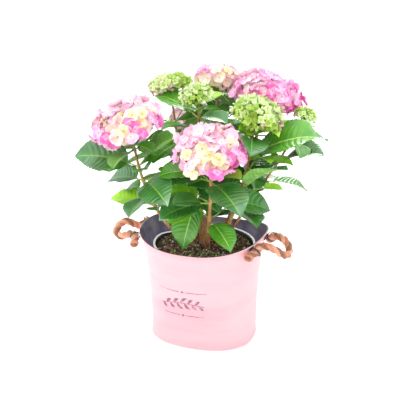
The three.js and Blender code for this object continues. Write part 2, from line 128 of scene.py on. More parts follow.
def wrap(bm, around, rows, place, kind=None):
    """Adds a sheet of cells that closes on itself the first way. place(a, r) gives each corner from its
    shares round and along, kind(a, r) the material of each cell."""
    made = bmesh.ops.create_grid(bm, x_segments=around, y_segments=rows, size=0.5)["verts"]
    if kind:
        for face in {face for vert in made for face in vert.link_faces}:
            middle = face.calc_center_median()
            face.material_index = kind(middle.x + 0.5, middle.y + 0.5)
    for vert in made:
        vert.co = place(min(1.0, max(0.0, vert.co.x + 0.5)), min(1.0, max(0.0, vert.co.y + 0.5)))
    bmesh.ops.remove_doubles(bm, verts=made, dist=1e-4)


def paint(verts, finish):
    """Gives the faces round these vertices a finish, by its place among the piece's finishes."""
    for face in {face for vert in verts for face in vert.link_faces}:
        face.material_index = finish


def put(name, bm, slot, finishes, *nodes):
    """Makes the finished piece from a mesh drawn in millimetres."""
    bmesh.ops.scale(bm, vec=(0.001, 0.001, 0.001), verts=bm.verts)
    mesh = bpy.data.meshes.new(name)
    bm.to_mesh(mesh)
    bm.free()
    mesh.shade_smooth()
    for finish in finishes:
        mesh.materials.append(finish)
    piece = bpy.data.objects.new(name, mesh)
    scene.collection.objects.link(piece)
    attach(piece, "root")
    if nodes:
        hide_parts(*nodes)
    return piece


def blunt(value, power):
    return copysign(abs(value) ** power, value)


def pail_point(angle, share, outside=0.0, lift=0.0):
    """A point of the pail's wall: angle round it, share of its height, distance outside its face."""
    long = PAIL_FOOT[0] + (PAIL_TOP[0] - PAIL_FOOT[0]) * share ** PAIL_FLARE + outside
    wide = PAIL_FOOT[1] + (PAIL_TOP[1] - PAIL_FOOT[1]) * share + outside
    rim = PAIL_HEIGHT + PAIL_EAR * cos(angle) ** 2
    power = 2 / PAIL_SQUARENESS
    x, y = long * blunt(cos(angle), power), wide * blunt(sin(angle), power)
    return Vector((x, y, rim * share + lift))


# The sheet's section: [share of the height, distance outside, lift], up the outside, round the
# rolled edge, down the inside and across the floor.
MIDDLE = -PAIL_FOOT[0]
section = [(0, MIDDLE, 0), (0, -40, 0), (0, -1.2, 0)]
section += [(0, 0.6, 0.7), (0, 1.0, 2.0), (0, 0.5, 3.3), (0, 0, 4.2)]
section += [(i / 24, 0, 0) for i in range(1, 24)] + [(0.985, 0, 0)]
for step in range(9):
    roll = radians(-60 + step * 30)
    section.append((1, PAIL_BEAD * (0.5 + cos(roll)), PAIL_BEAD * (sin(roll) - 1)))
section += [(1, -PAIL_WALL, -3.4)] + [(i / 24, -PAIL_WALL, 0) for i in range(23, 0, -1)]
section += [(0, -PAIL_WALL, PAIL_FLOOR), (0, -40, PAIL_FLOOR), (0, MIDDLE, PAIL_FLOOR)]


def pail_skin(a, r):
    share, outside, lift = section[round(r * (len(section) - 1))]
    if outside == MIDDLE:
        return Vector((0, 0, lift))
    return pail_point(a * tau, share, outside, lift)


# The lining starts at the first row of the section inside the wall's outer face. Zinc shows from a few
# rows before it. In front the rolled edge carries a painted shadow, from and to these rows.
lining = next(i for i, row in enumerate(section) if i > 10 and row[1] < 0)
ZINC_FROM, SHADOW_FROM, SHADOW_TO = lining - 2.2, lining - 3.2, lining + 1.8
SHADOW_FRONT = -0.35  # the painted shadow lies where the sine of the angle round the pail is under this
ENAMEL, ZINC, EDGE_SHADOW = 0, 1, 2


def pail_finish(a, r):
    row = r * (len(section) - 1)
    # in front, the inner half of the rolled edge gets the painted shadow
    if sin(a * tau) < SHADOW_FRONT and row < SHADOW_TO:
        return ENAMEL if row < SHADOW_FROM else EDGE_SHADOW
    return ENAMEL if row < ZINC_FROM else ZINC


bm = bmesh.new()
wrap(bm, 144, len(section) - 1, pail_skin, pail_finish)
put("pail_sheet", bm, "pail_paint", [pink_enamel, galvanised_zinc, painted_shadow_edge], "pail")

# The front carries a small stencilled mark, worn thin: two short rules and a sprig between them, in
# a faded plum ink that lies on the enamel.
plum_ink = mottled("plum_ink", ["#d9a5b3", "#a06f86", "#8a5a74"], 4, 0.55)


def mark_point(x, z):
    """A point on the pail's front, x mm along it and at height z, closed in on from its middle."""
    angle = radians(270)
    share = z / PAIL_HEIGHT
    for _ in range(12):
        angle += (x - pail_point(angle, share).x) / 110
    return pail_point(angle, share, 0.15)


def arc(a, b, c):
    """A bend from a to c that sets out towards b, as a function of its share."""
    return lambda s: a * (1 - s) ** 2 + b * 2 * s * (1 - s) + c * s * s


def mark(bm, corners, width, steps=14):
    """A thin stroke of ink along a bend by the corners, as wide as width says at each share."""
    made = bmesh.ops.create_grid(bm, x_segments=steps, y_segments=2, size=0.5)["verts"]
    (ax, az), (bx, bz), (cx, cz) = corners
    along, high = arc(ax, bx, cx), arc(az, bz, cz)
    for vert in made:
        share = vert.co.x + 0.5
        dx = 2 * (1 - share) * (bx - ax) + 2 * share * (cx - bx)
        dz = 2 * (1 - share) * (bz - az) + 2 * share * (cz - bz)
        size = hypot(dx, dz)
        side = vert.co.y * width(share)
        vert.co = mark_point(along(share) - dz / size * side, high(share) + dx / size * side)


MARK_X, MARK_Z = -8.0, 93.0  # its middle
RULE_RISE = 24.0  # the rules above and below it
LEAVES = 11
bm = bmesh.new()
for up in (RULE_RISE, -RULE_RISE):
    for side in (-1, 1):
        rule = [(MARK_X + side * out, MARK_Z + up) for out in (6, 24, 46 if up > 0 else 38)]
        mark(bm, rule, lambda s: 1.7 - 0.85 * s)
    mark(bm, [(MARK_X + out, MARK_Z + up) for out in (-3, 0, 3)],
         lambda s: 4.6 * sin(pi * s) + 0.3, 8)
sprig = [(MARK_X - 44, MARK_Z - 7), (MARK_X, MARK_Z + 7), (MARK_X + 40, MARK_Z - 3)]
mark(bm, sprig, lambda share: 1.4)
for i in range(LEAVES):
    share = 0.06 + i * 0.083
    x, z = sprig[0][0] + 84 * share, arc(*[corner[1] for corner in sprig])(share)
    reach = 15 - abs(i - 5) * 0.9
    up = 1 if i % 2 else -1
    mark(bm, [(x, z), (x + reach * 0.3, z + up * reach * 0.6), (x + reach * 0.8, z + up * reach * 0.75)],
         lambda s: 5.6 * sin(pi * min(1, s + 0.02)) ** 0.8 + 0.2)
put("pail_mark", bm, "pail_paint", [plum_ink])

# ---------------- rope handles
# Each handle is a loop of thick three-strand jute rope. It runs through a wire eye on either side,
# and a knot outside the wall keeps each end from slipping back.
ROPE_RADIUS = 7.0
ROPE_LAY = 34.0  # one full twist of its strands
KNOT_TURNS = (3.4, 5.0, 2.9)  # how far each turn of a knot bulges
EYE_DROP, ROPE_STAND_OFF = 11.0, 12.0
EYE_RING, EYE_WIRE = 9.0, 0.75  # radii
EYES = {"front": -50.0, "rear": 18.0}  # where they stand along the wall, from the long axis
# Each rope's run, mm: its front knot, then from the front eye over the loop to the rear eye, then
# its rear knot. The two loops hang differently, as stiff rope does.
ROPE_RUNS = {
    "left": dict(
        front=[(-112, -69, 184), (-113, -62, 190)],
        loop=[(-126, -47, 196), (-140, -44, 190), (-154, -40, 185), (-165, -31, 190), (-163, -19, 200),
              (-154, -9, 204), (-144, -3, 199), (-134, 4, 193)],
        rear=[(-120, 29, 196), (-117, 36, 193)]),
    "right": dict(
        front=[(105, -70, 187), (109, -62, 191)],
        loop=[(118, -48, 201), (127, -43, 203), (137, -39, 200), (148, -34, 193), (158, -26, 184),
              (163, -12, 181), (161, 1, 188), (152, 9, 197), (142, 12, 202), (132, 15, 202)],
        rear=[(119, 28, 191), (116, 36, 187)]),
}

# Twisted jute yarn: dry, tan to rust, with lighter broken fibres along the twist.
jute_pale = mottled("jute_pale", ["#e09c80", "#f0ba9e"], 4, 0.92, 0.8, 1.2, Sheen_Weight=0.25)
jute_tan = mottled("jute_tan", ["#c88064", "#dc9e82"], 4, 0.92, 0.8, 1.2, Sheen_Weight=0.25)
jute_rust = mottled("jute_rust", ["#8c5a42", "#a8765a"], 4, 0.92, 0.8, 1.2, Sheen_Weight=0.25)
# Galvanised wire gone dull: dark grey, bright only on its bends.
dull_wire = mottled("dull_wire", ["#4a484e", "#6d6a72"], 6, 0.38, 0.05, 1.0, metallic=0.9)


def smooth_run(points):
    """A smooth line through the points, as a function of its share, after centripetal Catmull and Rom."""
    first = points[0] * 2 - points[1]
    last = points[-1] * 2 - points[-2]
    whole = [first] + list(points) + [last]

    def at(share):
        span = min(len(points) - 2, int(share * (len(points) - 1)))
        t = share * (len(points) - 1) - span
        a, b, c, d = whole[span:span + 4]
        ab, bc, cd = [max(1e-4, (q - p).length) ** 0.5 for p, q in ((a, b), (b, c), (c, d))]
        leave = ((b - a) / ab - (c - a) / (ab + bc) + (c - b) / bc) * bc
        reach = ((c - b) / bc - (d - b) / (bc + cd) + (d - c) / cd) * bc
        return (b + leave * t + (3 * (c - b) - 2 * leave - reach) * t * t
                + (2 * (b - c) + leave + reach) * t ** 3)

    return at


def way_of(line, share, step=0.004):
    """The direction of a line at a share of it."""
    return (line(min(1, share + step)) - line(max(0, share - step))).normalized()


def spoke(across, other, angle):
    """The direction at an angle in the plane of two others."""
    return across * cos(angle) + other * sin(angle)


def tube(bm, line, radius, around, rows, kind=None):
    """A closed tube round a line; radius(share, angle) may swell it."""
    spots = [line(i / rows) for i in range(rows + 1)]
    ways = [way_of(line, i / rows) for i in range(rows + 1)]
    sides = []
    side = ways[0].orthogonal().normalized()
    for way in ways:
        side = (side - way * side.dot(way)).normalized()
        sides.append(side.copy())

    def place(a, r):
        i = round(r * (rows + 2)) - 1
        end = i < 0 or i > rows
        i = min(rows, max(0, i))
        angle = a * tau
        out = 0.0 if end else radius(i / rows, angle)
        return spots[i] + spoke(sides[i], ways[i].cross(sides[i]), angle) * out

    wrap(bm, around, rows + 2, place, kind)


def eye_place(side, place):
    """Angle and share of height of an eye on the wall, and the middle of its ring."""
    y = EYES[place]
    near = copysign(asin(abs(y / PAIL_TOP[1]) ** (PAIL_SQUARENESS / 2)), y)
    angle = near if side > 0 else pi - near
    share = 1 - EYE_DROP / (PAIL_HEIGHT + PAIL_EAR * cos(angle) ** 2)
    return angle, share, pail_point(angle, share, ROPE_STAND_OFF)


def rope_line(side, word):
    front, loop, rear = [[Vector(p) for p in run] for run in ROPE_RUNS[word].values()]
    front_eye, rear_eye = [eye_place(side, place)[2] for place in EYES]
    return smooth_run(front + [front_eye] + loop + [rear_eye] + rear)


FRAMES = 240
for side, word in ((-1, "left"), (1, "right")):
    rope = rope_line(side, word)
    length = sum((rope((i + 1) / 80) - rope(i / 80)).length for i in range(80))
    turns = length / ROPE_LAY
    bm = bmesh.new()
    frames, hold = [], (rope(0.01) - rope(0)).normalized().orthogonal().normalized()
    for i in range(FRAMES + 1):
        way = way_of(rope, i / FRAMES)
        hold = (hold - way * hold.dot(way)).normalized()
        frames.append((hold.copy(), way.cross(hold)))
    for lead in range(3):
        def strand(share):
            inner = 0.03 + 0.94 * share
            twist = tau * (turns * inner) + lead * tau / 3
            return rope(inner) + spoke(*frames[round(inner * FRAMES)], twist) * ROPE_RADIUS * 0.5
        tube(bm, strand, lambda s, angle: ROPE_RADIUS * (0.52 + 0.02 * sin(7 * angle + 60 * s)),
             10, 170, lambda a, r: lead)
    for end in (0, 1):
        # the knot: three turns of the rope's strands round its own end, and a short frayed tail
        middle = rope(0.982 if end else 0.018)
        down = ((rope(1.0) - rope(0.95)) if end else (rope(0.0) - rope(0.05))).normalized()
        across = down.orthogonal().normalized()
        other = down.cross(across)
        for ring, wide in enumerate(KNOT_TURNS):
            def loop(share):
                angle = share * tau * 1.05 + ring * 2.1
                tilt = 0.45 * sin(angle + ring * 2.1)
                return middle + spoke(across, other, angle) * wide + down * (ring * 3.6 - 3.6 + tilt * 4)
            tube(bm, loop, lambda s, angle: 3.5 * (1 + 0.05 * sin(6 * angle + 50 * s)), 9, 26,
                 lambda a, r: ring)
        dice = random.Random(7 + end + side)
        for _ in range(26):
            out = spoke(across, other, dice.uniform(0, tau)) * dice.uniform(0.2, 1.0)
            root = middle + down * 3 + out * 3
            tip = root + down * dice.uniform(3, 7) + out * 4
            tube(bm, arc(root, root.lerp(tip, 0.5) + down * 2, tip), lambda s, a: 0.45 - 0.27 * s, 4, 4)
    # loose fibres that stand off the twist
    dice = random.Random(31 + side)
    for _ in range(150):
        share = dice.uniform(0.05, 0.95)
        out = spoke(*frames[round(share * FRAMES)], dice.uniform(0, tau))
        root = rope(share) + out * ROPE_RADIUS * 0.85
        tip = root + out * dice.uniform(0.8, 2.6) + way_of(rope, share, 0.01) * dice.uniform(-7, 7)
        tube(bm, arc(root, root.lerp(tip, 0.5) + out * 1.2, tip), lambda s, angle: 0.16, 3, 4)
    put(f"rope_{word}", bm, "jute_rope", [jute_pale, jute_tan, jute_rust], f"rope_handle_{word}")

    for place in EYES:
        # the eye: a ring of doubled wire on a small pressed plate with two rivets
        angle, share, ring = eye_place(side, place)
        way = way_of(rope, min((i / 500 for i in range(501)), key=lambda t: (rope(t) - ring).length))
        across = way.orthogonal().normalized()
        other = way.cross(across)
        bm = bmesh.new()
        for turn in (-1, 1):
            tube(bm, lambda s: ring + way * EYE_WIRE * turn + spoke(across, other, s * tau) * EYE_RING,
                 lambda s, a: EYE_WIRE, 8, 48)
        plate = bmesh.ops.create_cube(bm, size=1.0)["verts"]
        edges = {edge for vert in plate for edge in vert.link_edges}
        bmesh.ops.bevel(bm, geom=list(edges), offset=0.16, offset_type="OFFSET", segments=3, profile=0.5,
                        affect="EDGES", material=-1)
        for vert in [vert for vert in bm.verts if max(map(abs, vert.co)) <= 0.51]:
            x, y, z = vert.co
            vert.co = pail_point(angle + x * 0.12, share + y * 0.06, 0.3 + (z + 0.5) * 1.6)
        for up in (-0.019, 0.019):
            rivet = bmesh.ops.create_uvsphere(bm, u_segments=12, v_segments=8, radius=1.5)["verts"]
            bmesh.ops.translate(bm, vec=pail_point(angle, share + up, 1.9), verts=rivet)
        put(f"eye_{word}_{place}", bm, "eye_wire", [dull_wire], f"handle_eye_{word}_{place}")

# ---------------- nursery pot
# A thin blown pot of soft plastic, pale outside and on its rolled lip, dark inside. Its rim has
# been squeezed in at the rear left, where it was gripped to be set in the pail.
NURSERY_RIM, NURSERY_FOOT, NURSERY_HEIGHT = 92.0, 66.0, 180.0
NURSERY_WALL, NURSERY_LIP, NURSERY_SHIFT = 1.3, 3.2, -1.0
DENT_DEPTH, DENT_ANGLE, DENT_SPAN = 15.0, 152.0, 13.0
FIT_GAP = 0.3  # between the pot and what it touches

# Blown polypropylene: pale lilac white, waxy, with a faint painted glow that lifts the shade on its
# lip. The inside is dark.
pale_plastic = mottled("pale_polypropylene", ["#f6f4fb", "#fefeff"], 30, 0.35,
                       Emission_Color=linear("#f2ecfa"), Emission_Strength=0.34)
dark_plastic = mottled("dark_polypropylene", ["#2a242c", "#3a3038"], 20, 0.45, 0.05, 4.0)


def nursery_radius(angle, z):
    share = z / NURSERY_HEIGHT
    off = (degrees(angle) - DENT_ANGLE + 540) % 360 - 180
    dent = DENT_DEPTH * exp(-((off / DENT_SPAN) ** 2)) * share ** 3
    return NURSERY_FOOT + (NURSERY_RIM - NURSERY_FOOT) * share - dent


pot_foot = PAIL_FLOOR + FIT_GAP
# The wall's section: [height, distance inside], up the outside, over the rolled lip, down the inside.
section_pot = [(pot_foot, 0)] + [(NURSERY_HEIGHT * i / 16, 0) for i in range(1, 15)]
section_pot += [(171, 0), (172, -0.8), (172, -3.0), (173, -NURSERY_LIP), (178.6, -NURSERY_LIP)]
section_pot += [(179.8, -2.8), (180, -1.8), (179.9, -0.6), (178.6, 0.6)]
section_pot += [(NURSERY_HEIGHT * i / 16, NURSERY_WALL) for i in range(15, 0, -1)]
section_pot += [(pot_foot + NURSERY_WALL, NURSERY_WALL)]
DARK_ROW = 24  # of the section, where the inner layer starts


def pot_skin(a, r):
    row = round(r * (len(section_pot) + 1)) - 1
    if row < 0 or row >= len(section_pot):
        return Vector((0, NURSERY_SHIFT, pot_foot + (NURSERY_WALL if row > 0 else 0)))
    z, inside = section_pot[row]
    out = nursery_radius(a * tau, z) - inside
    return Vector((cos(a * tau) * out, sin(a * tau) * out + NURSERY_SHIFT, z))


bm = bmesh.new()
rows = len(section_pot) + 1
wrap(bm, 128, rows, pot_skin, lambda a, r: 1 if r > DARK_ROW / rows else 0)
put("nursery_shell", bm, "pot_plastic", [pale_plastic, dark_plastic], "nursery_pot")

# ---------------- potting soil
# Moist peat heaped a little to the middle, with perlite grains, crumbs of peat, a few chips of bark
# and green moss that has grown on it towards the front.
SOIL_LEVEL, SOIL_MOUND = 172.0, 5.0
SOIL_TOP = 0.93  # share of the skin's rows that its top takes
wet_peat = mottled("wet_peat", ["#3e2a24", "#63493e", "#7c6255"], 4, 0.95, 1.0, 2.5)
# Perlite: expanded volcanic glass, chalk white and pitted.
perlite = mottled("perlite", ["#d9d6cf", "#f4f2ee"], 3, 0.9, 0.4, 1.0)
# Composted pine bark: rust brown plates.
pine_bark = mottled("pine_bark", ["#6b4234", "#93604a", "#b07f68"], 4, 0.8, 0.5, 1.5, stretch=(1, 3, 1))
# Cushion moss: dull yellow green, soft.
moss = mottled("cushion_moss", ["#5a6a38", "#85914f", "#a5a873"], 3, 0.95, 0.6, 1.0)


def soil_height(x, y):
    out = hypot(x, y - NURSERY_SHIFT) / NURSERY_RIM
    return SOIL_LEVEL + SOIL_MOUND * cos(min(1, out) * pi * 0.5)


def soil_skin(a, r):
    """The mound's top from its middle to the pot's wall, then down the inside of the pot."""
    angle = a * tau
    if r > SOIL_TOP:
        down = (r - SOIL_TOP) / (1 - SOIL_TOP)
        z = SOIL_LEVEL * (1 - down) + (pot_foot + 2) * down
        out = (nursery_radius(angle, z) - NURSERY_WALL - FIT_GAP) if r < 0.999 else 0
        return Vector((cos(angle) * out, sin(angle) * out + NURSERY_SHIFT, z))
    edge = nursery_radius(angle, SOIL_LEVEL) - NURSERY_WALL - FIT_GAP
    out = edge * (r / SOIL_TOP) ** 0.8
    x, y = cos(angle) * out, sin(angle) * out + NURSERY_SHIFT
    clod = sin(x * 0.31 + 1.3 * sin(y * 0.23)) * cos(y * 0.37 + sin(x * 0.19))
    crumb = sin(x * 1.1 + y * 0.7) * sin(y * 1.3 - x * 0.5)
    return Vector((x, y, soil_height(x, y) + (1.5 * clod + 0.7 * crumb) * min(1, (edge - out) / 6 + 0.1)))


bm = bmesh.new()
wrap(bm, 160, 72, soil_skin)
bmesh.ops.recalc_face_normals(bm, faces=bm.faces)
put("peat", bm, "potting_soil", [wet_peat], "soil")

GRAINS, BARK = 1500, 2  # the grains, and the place of bark among their four kinds
GRAIN_SIZES = ((0.9, 1.9), (1.0, 2.6), (2.5, 6.0), (1.2, 2.6))  # radii of each kind, mm
dice = random.Random(5)
bm = bmesh.new()
for grain in range(GRAINS):
    angle = dice.uniform(0, tau)
    out = (nursery_radius(angle, SOIL_LEVEL) - 5) * sqrt(dice.uniform(0, 1))
    x, y = cos(angle) * out, sin(angle) * out + NURSERY_SHIFT
    mossy = y < -38 and x > -45
    kind = dice.choices(range(4), (18, 50, 4, 70 if mossy else 8))[0]
    size = [dice.uniform(*limits) for limits in GRAIN_SIZES][kind]
    made = bmesh.ops.create_icosphere(bm, subdivisions=1, radius=size)["verts"]
    for vert in made:
        vert.co *= dice.uniform(0.75, 1.2)
    if kind == BARK:
        bmesh.ops.scale(bm, vec=(1.0, 0.45, 0.22), verts=made)
    spin = (Matrix.Rotation(dice.uniform(0, tau), 3, "Z")
            @ Matrix.Rotation(dice.uniform(-0.4, 0.4), 3, "X"))
    bmesh.ops.rotate(bm, matrix=spin, verts=made)
    bmesh.ops.translate(bm, vec=(x, y, soil_height(x, y) + size * 0.25 + 0.4), verts=made)
    paint(made, kind)
# one large flake of bark lies at the front left
chip = bmesh.ops.create_icosphere(bm, subdivisions=2, radius=6.5)["verts"]
bmesh.ops.scale(bm, vec=(1.2, 0.7, 0.35), verts=chip)
bmesh.ops.translate(bm, vec=(-52, -50, SOIL_LEVEL + 5.5), verts=chip)
paint(chip, BARK)
put("soil_grains", bm, "potting_soil", [perlite, wet_peat, pine_bark, moss])

# ---------------- canes
# Last year's woody shoots, pencil thick, tan to rust and ridged, with a swollen joint wherever a
# pair of leaves stands. They flare a little at the soil and taper to this year's green growth.
HEAD_LEAN = 0.35
# Each shoot: its foot, how it swings out, radius and bare share of its cane, the middle, half width
# and half height of its flower head, and its pairs of leaves: place along the shoot, headings,
# lengths, angles above the level, and on a few their extra roll.
SHOOTS = {
    "left": dict(
        foot=(-16, -16), swing=(0.82, 0.3), cane=4.4, bare=0.36,
        head=(-104, -101, 418), wide=59, tall=40, pairs=[
        (0.5, (178, 20), (74, 68), (14, 14)), (0.6, (266, 84), (66, 84), (0, 6)),
        (0.72, (160, 315), (74, 90), (2, 4)), (0.82, (196, 345), (94, 84), (20, 50), (-34, 0)),
        (0.93, (268, 85), (70, 77), (4, 12))]),
    "front": dict(
        foot=(14, -24), swing=(0.75, 0.35), cane=4.6, bare=0.3,
        head=(46, -94, 383), wide=58, tall=38, pairs=[
        (0.46, (322, 98), (64, 81), (-16, 4)), (0.66, (222, 30), (80, 92), (0, 0)),
        (0.85, (315, 162), (94, 97), (-2, 8))]),
    "right_lime": dict(
        foot=(26, -6), swing=(0.8, 0.4), cane=4.2, bare=0.28,
        head=(101, -12, 430), wide=44, tall=28, pairs=[
        (0.36, (310, 130), (84, 77), (14, 16)), (0.54, (336, 160), (98, 84), (42, 6)),
        (0.66, (216, 80), (88, 92), (6, 20)), (0.79, (352, 190), (114, 90), (34, 8), (30, 0)),
        (0.94, (285, 98), (80, 77), (6, 14))]),
    "back_right": dict(
        foot=(20, 16), swing=(0.7, 0.4), cane=4.6, bare=0.34,
        head=(86, 99, 442), wide=62, tall=42, pairs=[
        (0.44, (72, 163), (92, 77), (-2, -4)), (0.64, (112, 294), (103, 73), (-6, -6)),
        (0.84, (24, 160), (106, 88), (-2, 8))]),
    "top_centre": dict(
        foot=(-2, 12), swing=(0.55, 0.5), cane=4.4, bare=0.36,
        head=(-15, 120, 460), wide=43, tall=30, pairs=[
        (0.46, (90, 290), (99, 73), (-4, 20)), (0.64, (174, 36), (97, 81), (2, 8)),
        (0.81, (94, 238), (92, 84), (36, 18)), (0.95, (315, 139), (96, 60), (4, 18))]),
    "mid_lime": dict(
        foot=(-4, -6), swing=(0.4, 0.5), cane=3.6, bare=0.3,
        head=(-12, -15, 456), wide=29, tall=20, pairs=[
        (0.37, (258, 20), (88, 77), (-44, 10)), (0.5, (244, 318), (76, 71), (8, -22)),
        (0.66, (205, 42), (92, 88), (2, 0)), (0.8, (240, 64), (92, 72), (-6, 34)),
        (0.91, (158, 325), (92, 68), (26, 16))]),
    "back_left": dict(
        foot=(-18, 10), swing=(0.62, 0.42), cane=4, bare=0.36,
        head=(-88, 53, 458), wide=38, tall=20, pairs=[
        (0.46, (150, 298), (97, 73), (-4, -6)), (0.64, (225, 98), (97, 88), (4, -22)),
        (0.83, (178, 4), (90, 88), (8, -2))]),
    "far_right": dict(
        foot=(30, 8), swing=(0.6, 0.55), cane=3.4, bare=0.4,
        head=(166, 71, 417), wide=18, tall=12, pairs=[
        (0.5, (28, 114), (70, 77), (-4, 6)), (0.64, (338, 254), (88, 60), (32, 54), (34, 0)),
        (0.85, (58, 294), (77, 70), (2, 4))]),
    "rear": dict(
        foot=(-10, 24), swing=(0.8, 0.4), cane=4.2, bare=0.3,
        head=(-64, 142, 376), wide=50, tall=36, pairs=[
        (0.42, (120, 272), (92, 73), (-8, 56)), (0.62, (14, 194), (97, 101), (-16, -22)),
        (0.84, (110, 330), (92, 77), (-10, 0))]),
}

# Hydrangea bark: papery, tan over rust, in long cracks 1 to 2 mm apart.
ridged_bark = mottled("ridged_bark", ["#8a5236", "#bd8257", "#dcb184"], 5, 0.85, 0.8, 1.4,
                      stretch=(1, 1, 0.25))
# This year's stem: smooth, waxy, pale green with a little rust towards its foot.
young_bark = mottled("young_bark", ["#9a6238", "#b98a52", "#c8b070"], 6, 0.6, 0.3, 1.2, stretch=(1, 1, 0.3))
green_stem = mottled("green_stem", ["#6c8d2a", "#9bb34e", "#c6cf86"], 8, 0.5, 0.15, 1.0, stretch=(1, 1, 0.3))


def head_axis(shoot):
    x, y, _ = shoot["head"]
    out = Vector((x, y, 0)).normalized()
    return (out * HEAD_LEAN + Vector((0, 0, 1))).normalized()


def shoot_line(shoot):
    """The shoot's own line, from the soil to the foot of its flower head."""
    x, y = shoot["foot"]
    start = Vector((x, y, soil_height(x, y) + 0.3))
    end = Vector(shoot["head"]) - head_axis(shoot) * (shoot["tall"] * 0.55 + 8)
    out, up = shoot["swing"]
    bend = Vector((start.x + (end.x - start.x) * out, start.y + (end.y - start.y) * out,
                   start.z + (end.z - start.z) * up))
    return arc(start, bend, end)


def stretch_of(line, first, last):
    return lambda share: line(first + (last - first) * share)


OLD_JOINTS = (0.07, 0.16, 0.25)  # where last year's leaves have left their scars


def stem_radius(shoot, t, angle, woody):
    """The stem's radius at a share t of the shoot, with its joints, scars, ridges and flare."""
    joint = max(exp(-(((t - pair[0]) / 0.011) ** 2)) for pair in shoot["pairs"])
    scar = sum(exp(-(((t - old) / 0.006) ** 2)) for old in OLD_JOINTS)
    ridge = 0.02 * sin(6 * angle)
    if woody:
        ridge = 0.05 * sin(5 * angle + 9 * t) + 0.035 * sin(11 * angle - 40 * t)
    flare = 0.35 * exp(-((t / 0.02) ** 2))
    relief = ridge + 0.38 * joint + (0.22 * scar if woody else 0) + flare
    return shoot["cane"] * (1 - 0.5 * t) * (0.94 + relief)


SUNK, OVERLAP = 0.012, 0.01  # shares of the shoot that lie in the soil, and where its two barks meet
for name, shoot in SHOOTS.items():
    line, bare = shoot_line(shoot), shoot["bare"]
    bm = bmesh.new()
    tube(bm, stretch_of(line, -SUNK, bare),
         lambda s, a: stem_radius(shoot, -SUNK + (bare + SUNK) * s, a, True), 20, 60)
    put(f"cane_bark_{name}", bm, "bark", [ridged_bark], f"cane_{name}")
    bm = bmesh.new()
    young = bare - OVERLAP
    tube(bm, stretch_of(line, young, 1.0),
         lambda s, a: stem_radius(shoot, young + (1 - young) * s, a, False), 14, 90)
    put(f"young_stem_{name}", bm, "bark", [young_bark], f"leaves_{name}")

# ---------------- leaves
# Broad, toothed leaves in opposite pairs, each on a short stalk. The blade is quilted between its
# sunk side veins, folds up a little along the midrib, droops towards its tip and turns to the light.
LEAF_WIDTH, LEAF_STALK, LEAF_DROOP = 0.72, 0.22, radians(28)
LEAF_FOLD, LEAF_BANK = radians(16), radians(34)

# Living leaf: a waxy skin, deep green, with paler veins and a matt, greyer underside. The yellower
# tints are partly young leaves and partly painted light shining through.
leaf_deep = mottled("leaf_deep", ["#20701e", "#3f8f2e"], 9, 0.3, 0.2, 1.2, Specular_IOR_Level=1.0,
                    Coat_Weight=0.85, Coat_Roughness=0.34, Coat_IOR=1.7, Coat_Tint=linear("#f2f6ff"))
leaf_green = mottled("leaf_green", ["#42921b", "#60ae28"], 9, 0.3, 0.2, 1.2, Specular_IOR_Level=1.0,
                     Coat_Weight=0.4, Coat_Roughness=0.3)
leaf_fresh_backlit = mottled("leaf_fresh_backlit", ["#7cc012", "#9fd82a"], 9, 0.36, 0.2, 1.2, Specular_IOR_Level=0.7)
leaf_lime_backlit = mottled("leaf_lime_backlit", ["#a6e22c", "#c4f052"], 9, 0.42, 0.25, 1.2)
vein_deep = mottled("vein_deep", ["#568f3a", "#6ba34c"], 6, 0.45)
vein_green = mottled("vein_green", ["#73b23f", "#8ac257"], 6, 0.45)
vein_lime = mottled("vein_lime", ["#a5d65c", "#c3e685"], 6, 0.5)
leaf_underside = mottled("leaf_underside", ["#6ba542", "#8fc060"], 8, 0.7, 0.3, 1.0)
leaf_finishes = [leaf_deep, leaf_green, leaf_fresh_backlit, leaf_lime_backlit, vein_deep, vein_green, vein_lime,
                 leaf_underside, green_stem]
TINTS = range(4)  # the blade's own finishes, from deep green to lime
VEINS, MIDRIBS = (4, 5, 6, 6), (5, 6, 6, 6)  # their finishes for each tint of the blade
UNDERSIDE, STALK = 7, 8

TOP_COLUMNS = [-1, -0.93, -0.78, -0.55, -0.3, -0.04, 0.04, 0.3, 0.55, 0.78, 0.93, 1]
COLUMNS = TOP_COLUMNS + TOP_COLUMNS[-2:0:-1]
MIDRIB_COLUMN = 5
# Rows: share along the midrib, quilting, tooth at the edge, and whether the strip after it is a vein.
ROWS = [(-0.22, 0, 0, 0), (-0.2, 0, 0, 0), (-0.14, 0, 0, 0), (-0.07, 0, 0, 0), (-0.02, 0, 0, 0)]
ROWS += [(0.004, 0, 0, 0), (0.012, 0, 0.4, 0), (0.022, 0.3, -0.4, 0)]
for i in range(7):
    at = 0.04 + 0.116 * i - 0.001 * i * i
    ROWS += [(at, 0, 1, 1), (at + 0.009, 0, 0.8, 0), (at + 0.036, 1, -1, 0)]
    ROWS += [(at + 0.068, 0.9, 0.6, 0), (at + 0.094, 0.5, -0.6, 0)]
ROWS += [(0.84, 0.4, 0.7, 0), (0.88, 0.3, -0.6, 0), (0.915, 0.1, 0.4, 0)]
ROWS += [(0.95, 0, 0, 0), (0.985, 0, 0, 0), (1.0, 0, 0, 0)]


def level_way(angle):
    return Vector((cos(angle), sin(angle), 0))


